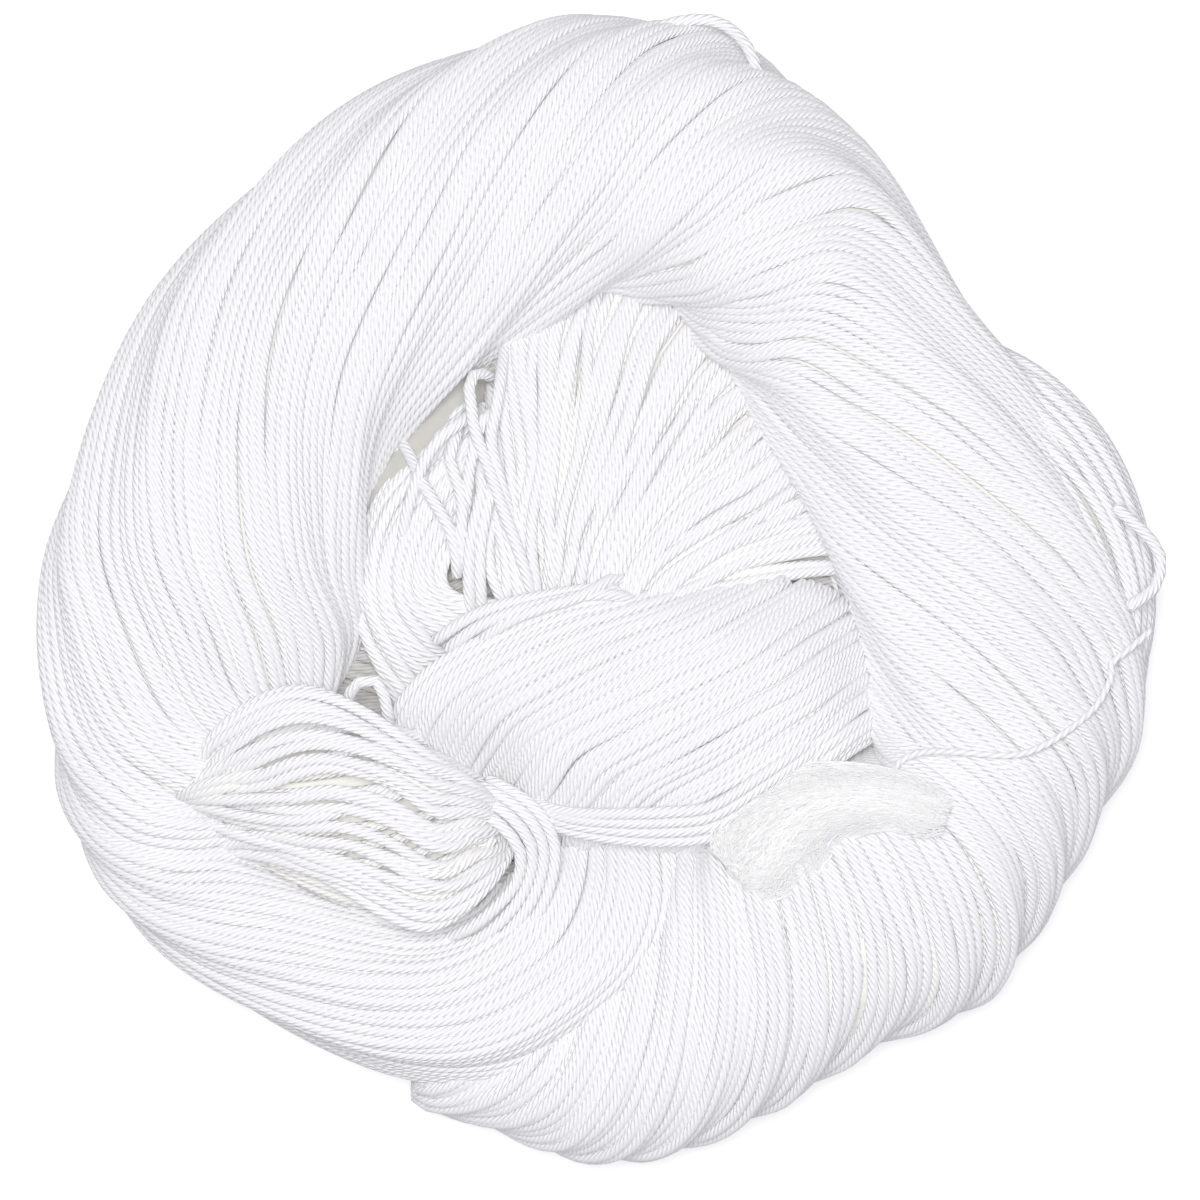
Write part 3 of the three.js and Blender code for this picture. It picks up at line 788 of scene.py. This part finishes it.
# Loose strands: single strands that lie over the bundles. Each row is a route, x, y, z in mm: those
# that cross one another between the curl and the fan, along the middle bundle's top edge, on their
# own at the rims, and round the lobe's right end.
CROSSING_STRANDS = [
    [(-16.4, 32.8, 30), (-18.5, 33.4, 33), (-19.8, 32.0, 35), (-19.6, 29.3, 35.5),
     (-19.2, 25.9, 36), (-18.2, 22.4, 36), (-16.7, 18.6, 36), (-14.9, 13.3, 36.5),
     (-12.9, 8.0, 36.5), (-11.1, 2.7, 35.5), (-10.0, -1.9, 33)],
    [(-14.4, 38.4, 26), (-15.0, 33.1, 33), (-15.4, 30.0, 35), (-16.0, 26.2, 35.5),
     (-16.6, 23.2, 35.5), (-15.5, 18.6, 35.5), (-14.3, 14.1, 35), (-12.2, 7.2, 33)],
    [(-19.8, 27.4, 31), (-21.0, 25.9, 34.5), (-23.1, 24.5, 35.5), (-25.1, 22.4, 35.5),
     (-26.9, 19.4, 35), (-28.0, 16.3, 34.5), (-29.2, 12.5, 34), (-30.1, 8.0, 32)],
    [(-15.2, 28.0, 31), (-16.7, 27.1, 34), (-18.2, 25.5, 35), (-19.0, 22.4, 35),
     (-19.8, 18.6, 35), (-20.2, 14.8, 35), (-20.8, 9.5, 33)],
    [(-32.0, 25.2, 22), (-29.2, 21.6, 29), (-27.1, 17.1, 34.5), (-25.1, 13.8, 35.3),
     (-23.0, 10.3, 35.5), (-21.9, 6.5, 35), (-21.6, 2.7, 33)],
    [(-21.3, 25.5, 30), (-22.0, 23.2, 33.5), (-22.8, 20.6, 34.5), (-22.0, 17.9, 35),
     (-21.1, 15.3, 35.3), (-20.8, 12.2, 35.5), (-21.1, 8.4, 35.2), (-20.8, 3.4, 33)],
    [(-17.5, 20.9, 30), (-18.1, 18.6, 33), (-17.9, 15.3, 35), (-18.7, 11.8, 35.5),
     (-19.6, 8.0, 35.5), (-19.9, 3.9, 35.2), (-19.8, 0.1, 34.5), (-19.5, -4.2, 31)],
    [(-16.0, 21.7, 31), (-16.1, 17.9, 34), (-17.0, 13.3, 35), (-17.9, 8.7, 35.3),
     (-18.2, 4.9, 35), (-18.1, 0.4, 34.5), (-17.6, -4.2, 31)],
]
TOP_EDGE_STRANDS = [
    [(-24.9, -7.2, 36), (-19.8, -3.7, 39), (-14.4, -1.6, 40), (-8.4, -0.4, 40),
     (-3.0, 0.5, 39.5), (1.5, 0.7, 38.5), (4.9, -0.8, 34)],
    [(-23.1, -8.4, 37), (-18.2, -4.9, 40), (-12.9, -2.7, 41), (-6.8, -1.1, 41),
     (-1.5, -0.2, 40.5), (3.3, -0.4, 39), (6.8, -2.1, 34)],
    [(-18.2, -7.2, 38), (-13.7, -4.2, 41), (-8.4, -2.1, 42), (-3.8, -0.8, 41.5), (0.0, 1.1, 40),
     (1.8, 2.2, 38.5), (4.3, 1.9, 35)],
]
RIM_LOOPS = [
    [(-38.2, -16.6, 36), (-37.2, -14.0, 39), (-34.9, -12.9, 40.2), (-33.1, -14.0, 39.6),
     (-32.4, -16.8, 38.4), (-31.8, -19.6, 36)],
    [(78.0, 13.0, 38), (82.0, 9.6, 37), (84.6, 6.4, 35.5), (84.9, 3.4, 35), (83.6, 0.4, 36),
     (80.0, -2.0, 38)],
    [(-3.0, 78.0, 37), (2.5, 82.5, 34.5), (7.6, 85.4, 32.5), (13.7, 87.0, 31.5),
     (18.5, 86.4, 32), (22.5, 82.5, 35), (24.5, 76.0, 38)],
]
LOBE_END_STRANDS = [
    [(-19.8, -30.0, 36), (-15.2, -32.5, 38.3), (-11.9, -35.5, 38.4), (-10.2, -39.1, 37),
     (-10.9, -43.7, 35.5), (-13.4, -48.0, 34.5), (-17.6, -51.9, 32.5), (-22.8, -54.3, 26)],
    [(-18.2, -29.0, 35), (-13.7, -31.5, 37.4), (-10.3, -34.6, 37.8), (-8.5, -38.8, 36.4),
     (-9.3, -44.2, 35), (-11.9, -48.9, 33.8), (-16.1, -53.1, 31.5), (-21.3, -55.9, 25)],
    [(-21.3, -31.5, 36), (-16.7, -33.8, 38.7), (-13.4, -36.7, 38.8), (-11.9, -39.9, 37.6),
     (-12.6, -43.7, 36.4), (-15.2, -47.0, 35.4), (-19.2, -50.4, 33), (-24.3, -52.8, 27)],
    [(-16.9, -28.2, 34), (-12.3, -30.6, 36.6), (-8.8, -33.7, 37.2), (-6.8, -38.5, 35.8),
     (-7.6, -44.5, 34.4), (-10.2, -49.8, 33), (-14.3, -54.3, 30.5), (-19.8, -57.4, 24)],
]
# Along the middle bundle's lower edge, every next strand lies higher and is drawn in further
# towards the bundle's middle, by its own share at each point.
LOWER_EDGE = [
    (-12.16, -31.844),
    (-6.688, -35.188),
    (1.52, -37.012),
    (10.64, -37.468),
    (17.784, -36.404),
    (26.448, -31.084),
    (33.44, -25.764),
    (38, -21.66),
]
LOWER_EDGE_HEIGHTS = [
    (31, 35.5, 37, 37, 37, 37, 36.3, 33),
    (31.5, 37, 39, 39, 39, 39, 38, 34),
    (32, 38, 40.6, 40.8, 40.8, 40.5, 39.2, 35),
    (32.5, 38.6, 41.6, 42.2, 42.2, 41.8, 40.2, 36),
]
LOWER_EDGE_SHARES = (0.12, 0.5, 0.85, 1, 1, 1, 0.9, 0.7)
BUNDLE_MIDDLE = np.array([13.68, -16.34])
DRAWN_IN = 0.07
lower_edge_strands = []
for turn, heights in enumerate(LOWER_EDGE_HEIGHTS):
    kept = 1 - DRAWN_IN * turn * np.array(LOWER_EDGE_SHARES)[:, None]
    level = np.round(BUNDLE_MIDDLE + (np.array(LOWER_EDGE) - BUNDLE_MIDDLE) * kept, 1)
    lower_edge_strands.append(np.column_stack([level, heights]))
loose_routes = [
    *CROSSING_STRANDS,
    *TOP_EDGE_STRANDS,
    *RIM_LOOPS,
    *lower_edge_strands,
    *LOBE_END_STRANDS,
]
SHADES = 8
loose_lines = [
    {"points": even_steps(np.asarray(route, float) * MM, STEP), "sunk": 0.0, "shade": k % SHADES / SHADES}
    for k, route in enumerate(loose_routes)
]
lay_yarn("loose_strands", loose_lines)

# Middle bundle: a short length that lies across the nest with its strands on the slant. The rows
# shape the yarn further in. Every guide strand is x, y, z in mm, from the lower left upwards.
MIDDLE = [
    (-16, -13.5, -13, -37.5, 27, 0),
    (-12.5, -5, -8.5, -37, 36, 12),
    (-1.5, 0, 3, -37.5, 41, 34),
    (12, 1.2, 15, -36.5, 42, 58),
    (24.5, 1.5, 26.5, -33, 41, 82),
    (34, 0, 36.5, -27.5, 38, 108),
    (42.5, -3, 45, -21, 30, 132),
]
MIDDLE_GUIDES = [
    [(-32.6, -22.0, 26), (-30.8, -16.3, 33), (-25.2, -10.3, 36), (-15.2, -5.0, 38),
     (-4.8, -1.3, 38.5), (2.2, -0.1, 37.5), (9.1, 0.2, 31)],
    [(-30.0, -24.6, 27), (-27.4, -18.5, 35), (-22.1, -12.4, 38.5), (-14.3, -7.2, 40.3),
     (-6.5, -3.7, 40.5), (1.3, -1.3, 38.5), (10.9, 1.0, 31)],
    [(-26.5, -26.3, 28), (-23.5, -20.2, 36.5), (-18.7, -14.6, 40.5), (-12.6, -9.8, 42),
     (-4.8, -5.5, 41.8), (3.0, -2.2, 39.5), (13.5, 1.5, 31)],
    [(-20.8, -28.1, 28), (-18.7, -22.0, 37), (-14.8, -16.3, 41.3), (-9.1, -11.6, 42.8),
     (-1.3, -6.4, 42.6), (7.4, -2.4, 40), (18.7, 1.6, 31)],
    [(-14.8, -30.7, 28), (-13.0, -23.7, 37.5), (-10.0, -18.1, 41.6), (-3.9, -12.9, 43),
     (4.8, -7.7, 42.8), (13.5, -3.3, 40.5), (24.8, 2.2, 31)],
    [(-13.0, -34.1, 28), (-9.1, -27.2, 38), (-3.9, -21.1, 41.6), (3.0, -15.5, 43),
     (11.7, -9.8, 43), (20.4, -4.6, 40.5), (30.8, 1.9, 31)],
    [(-10.0, -36.8, 28), (-3.9, -30.2, 38), (2.2, -25.0, 41.5), (9.1, -19.4, 43),
     (17.8, -13.3, 43), (26.5, -7.2, 40.5), (36.0, -0.1, 30)],
    [(-6.5, -38.1, 28), (1.3, -32.0, 37.5), (8.3, -27.2, 41), (16.1, -22.0, 42.8),
     (23.9, -15.9, 42.6), (31.7, -10.3, 39.5), (39.5, -3.7, 29)],
    [(-2.2, -39.4, 27), (6.5, -33.7, 36), (14.3, -29.4, 39.5), (21.3, -24.6, 41.5),
     (28.2, -19.4, 41.3), (34.3, -14.6, 38.5), (40.8, -9.0, 29)],
    [(3.0, -40.2, 26), (11.7, -35.7, 34), (19.5, -32.0, 37.5), (25.6, -27.6, 39.5),
     (31.7, -22.4, 39.3), (36.0, -18.5, 37), (41.7, -14.3, 29)],
    [(9.1, -40.7, 25), (17.8, -36.8, 32), (23.9, -33.7, 35.5), (29.1, -30.2, 37),
     (33.9, -25.9, 37), (37.8, -22.0, 35), (42.1, -18.9, 29)],
    [(13.5, -41.1, 24), (21.3, -37.6, 30), (26.1, -35.0, 33), (30.4, -32.0, 34.5),
     (34.3, -28.1, 34.5), (37.8, -25.0, 33), (41.7, -22.4, 28)],
]
middle = lay_sheet(
    MIDDLE_GUIDES, count=54, spacing=SPACING, seed=15, sway=0.4, lift=0.5, lock=0.2, pinch=0.1
)
lay_yarn("middle_strands", middle)
core_mesh("middle_core", MIDDLE, lobes=5, lobe_depth=0.04, inset=3.6, finish=core_shade_finish)

# Start of the middle bundle: the yarn further in where its strands rise out of the nest.
MIDDLE_START = [
    (-33, -22, -15, -36, 31, 0),
    (-32, -15.5, -13, -31.5, 36, 6),
    (-26, -9, -11.5, -22.5, 39, 14),
    (-16.5, -3.5, -9.5, -12, 40, 26),
    (-6, -0.5, -5, -6.5, 39, 38),
    (1, 0.5, 1, -3, 36, 46),
]
core_mesh("middle_start_core", MIDDLE_START, lobes=4, lobe_depth=0.04, inset=3.6, finish=core_shade_finish)

# Loose lobe: strands that arch apart over the wreath's lower left, gathered at both ends. Every
# guide strand is x, y, z in mm, from the left end to the right one. The rows shape the strands and
# the yarn that lie under them.
LOBE = [
    (-66, -26, -61.5, -35, 37, 0),
    (-61.5, -20.5, -57, -39, 42, 6),
    (-55.5, -16, -49.5, -44, 45, 12),
    (-47, -14, -39.5, -49, 46, 20),
    (-37, -15, -30.5, -52, 45, 30),
    (-26.5, -20, -22, -50, 43, 42),
    (-18, -27, -15, -43, 40, 56),
]
LOBE_GUIDES = [
    [(-66, -31, 29), (-60, -21.5, 39.5), (-53, -16, 43), (-45.5, -13.6, 44), (-37, -15.5, 43.5),
     (-28, -21, 42), (-18.5, -27, 38), (-11.5, -33.4, 27.5)],
    [(-65.5, -32, 30), (-58, -25, 41.5), (-51, -20.3, 45.5), (-43, -18, 46.5), (-34.5, -20, 46),
     (-26, -24.8, 44), (-18, -28.8, 39.5), (-11.5, -33.9, 28.5)],
    [(-65, -33, 30.5), (-56.5, -28, 42), (-48.5, -24, 46.5), (-40.5, -22, 47.5),
     (-32, -23.2, 47), (-24.5, -27, 45), (-17.3, -30.2, 40), (-11.5, -34.4, 29)],
    [(-64, -34.5, 30.5), (-54, -31, 41.5), (-46, -28, 46.5), (-37.5, -26.3, 47.5),
     (-30, -27, 47), (-23, -29.5, 45), (-17, -31.8, 40), (-11.5, -34.8, 29)],
    [(-62.5, -36, 30.5), (-52, -34, 40.5), (-44, -31.8, 45.5), (-36, -30.8, 46.5),
     (-28.5, -31, 46), (-22, -32.8, 44), (-16.5, -34, 39.5), (-11.5, -35.3, 28.5)],
    [(-60.5, -38, 30.5), (-50, -37.5, 39.5), (-42, -36.4, 44.5), (-34.5, -36.2, 45.3),
     (-27.5, -38, 45), (-21.5, -38.8, 43), (-16, -38.6, 38.5), (-11.5, -35.8, 28)],
    [(-58.5, -39, 30.5), (-48.5, -39.5, 38.8), (-41, -41, 43), (-34, -43.6, 43.5),
     (-27.5, -46.6, 43), (-21, -45.5, 41.5), (-15, -41.5, 37), (-11.5, -36.3, 27.5)],
    [(-56.5, -40, 30), (-47.5, -42, 38), (-40, -45.5, 40.5), (-33, -49.4, 40.5),
     (-26.5, -51, 40), (-20, -48.5, 39), (-14.5, -43, 35.5), (-11.5, -36.8, 27)],
]
lobe = lay_sheet(
    LOBE_GUIDES, count=25, spacing=0.0016, seed=17, sway=0.8, lift=1.1, lock=0.3, pinch=0.2
)
lay_yarn("lobe_strands", lobe)
lobe_under = lay_bundle(
    LOBE, count=44, spacing=0.0019, seed=27, lobes=4, lobe_depth=0.04, lift=2.4
)
lay_yarn("lobe_under_strands", lobe_under, corners=6)
core_mesh("lobe_core", LOBE, lobes=4, lobe_depth=0.04, inset=5.0, finish=core_shade_finish)

# Frayed knot: a lock of unspun cotton where the tie is knotted, blunt at its open end.
# x, y, base, width, thickness in millimetres
FRAYED_KNOT = [
    (52.5, -33.8, 43.2, 4, 1.2),
    (48.5, -32.6, 42.7, 5, 2.0),
    (44, -31.2, 41.9, 5.5, 2.6),
    (37, -31.3, 39.4, 7, 3.2),
    (30.5, -33.5, 38.3, 9.5, 3.5),
    (26, -37, 38.5, 10.5, 3.4),
    (22.5, -40.6, 38.7, 9, 2.8),
    (20.4, -42.6, 38.8, 6.5, 1.6),
]


FIBRE = 0.00014
FIBRE_POINTS = 9
STRAYING_SHARE = 0.15


def combed_fibres(count, seed):
    """Fine fibres that lie along the lock, spread over its section and ending at random."""
    rng = np.random.default_rng(seed)
    rows = np.asarray(FRAYED_KNOT)
    fibres = []
    for _ in range(count):
        start, end = np.sort(rng.uniform(0, len(rows) - 1, 2))
        if end - start < 1.5:
            end = min(len(rows) - 1, start + 2.5)
        places = np.linspace(start, end, FIBRE_POINTS)
        spot = along_column(rows, places)
        ahead = np.gradient(spot[:, :2], axis=0)
        ahead /= np.linalg.norm(ahead, axis=1)[:, None]
        across = rng.uniform(-1, 1) + np.cumsum(rng.normal(0, 0.2, FIBRE_POINTS))
        lift = rng.uniform(0, 1) ** 0.5 + np.cumsum(rng.normal(0, 0.14, FIBRE_POINTS))
        stray = 1.5 if rng.uniform() < STRAYING_SHARE else 1
        side = np.clip(across * stray, -1.7, 1.7) * spot[:, 3] / 2
        dome = np.sqrt(np.clip(1 - (across * 0.9) ** 2, 0.02, 1))
        z = spot[:, 2] + spot[:, 4] * (0.12 + 0.88 * np.clip(lift, 0, 1.15) * dome)
        x = spot[:, 0] - ahead[:, 1] * side
        y = spot[:, 1] + ahead[:, 0] * side
        fibres.append({"points": np.stack([x, y, z], 1) * MM, "shade": float(rng.uniform(0, 1))})
    return fibres


lock_finish = bpy.data.materials.new("unspun_cotton_fibre")
lock_finish.use_nodes = True
lock_tree = lock_finish.node_tree
lock_shader = lock_tree.nodes["Principled BSDF"]
lock_shade = lock_tree.nodes.new("ShaderNodeAttribute")
lock_shade.attribute_name = "shade"
lock_ramp = lock_tree.nodes.new("ShaderNodeValToRGB")
lock_ramp.color_ramp.elements[0].color = (0.76, 0.75, 0.76, 1)
lock_ramp.color_ramp.elements[1].color = (0.85, 0.84, 0.84, 1)
lock_tree.links.new(lock_shade.outputs["Fac"], lock_ramp.inputs["Fac"])
lock_tree.links.new(lock_ramp.outputs["Color"], lock_shader.inputs["Base Color"])
lock_shader.inputs["Roughness"].default_value = 0.7
lock_shader.inputs["Sheen Weight"].default_value = 0.15
lock_lines = combed_fibres(count=2000, seed=21)
lock = spin("frayed_knot_fibres", lock_lines, FIBRE, 4, lock_finish)
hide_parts("frayed_knot")

# Floor and light: a pale plain table, one large soft light close round the camera, and a weak
# cool fill from all sides.
FLOOR_REACH = 1.5
FLOOR_TONE = (0.93, 0.93, 0.94, 1)
FLOOR_BOUNCE = (0.3, 0.3, 0.32, 1)
FLOOR_GLOW = 0.3

floor_mesh = bpy.data.meshes.new("table_top")
floor_corners = [(x * FLOOR_REACH, y * FLOOR_REACH, 0) for x, y in ((-1, -1), (1, -1), (1, 1), (-1, 1))]
floor_mesh.from_pydata(floor_corners, [], [(0, 1, 2, 3)])
floor = bpy.data.objects.new("table_top", floor_mesh)
bpy.context.scene.collection.objects.link(floor)
floor_finish = bpy.data.materials.new("table_top")
floor_finish.use_nodes = True
floor_tree = floor_finish.node_tree
floor_shader = floor_tree.nodes["Principled BSDF"]
floor_shader.inputs["Roughness"].default_value = 0.9
floor_shader.inputs["Emission Color"].default_value = (1, 1, 1, 1)
# The camera sees a pale floor that glows a little, and the yarn gets less light back from it.
seen = floor_tree.nodes.new("ShaderNodeLightPath").outputs["Is Camera Ray"]
held_back = floor_tree.nodes.new("ShaderNodeMix")
held_back.data_type = "RGBA"
held_back.inputs[6].default_value = FLOOR_BOUNCE
held_back.inputs[7].default_value = FLOOR_TONE
floor_tree.links.new(seen, held_back.inputs[0])
floor_tree.links.new(held_back.outputs[2], floor_shader.inputs["Base Color"])
glow = math_node(floor_tree, "MULTIPLY", seen, FLOOR_GLOW)
floor_tree.links.new(glow, floor_shader.inputs["Emission Strength"])
floor_mesh.materials.append(floor_finish)

key = bpy.data.lights.new("softbox", "AREA")
key.shape = "DISK"
key.size = 1.0
key.energy = 122
softbox = bpy.data.objects.new("softbox", key)
softbox.location = (-0.1, 0.15, 3.2)
softbox.rotation_euler = (Vector((0, 0, 0)) - softbox.location).to_track_quat("-Z", "Y").to_euler()
bpy.context.scene.collection.objects.link(softbox)

room = bpy.data.worlds.new("room")
room.use_nodes = True
room.node_tree.nodes["Background"].inputs["Color"].default_value = (0.78, 0.76, 1.0, 1)
room.node_tree.nodes["Background"].inputs["Strength"].default_value = 0.15
bpy.context.scene.world = room
bpy.context.scene.view_settings.view_transform = "Standard"
bpy.context.scene.view_settings.gamma = 2.2
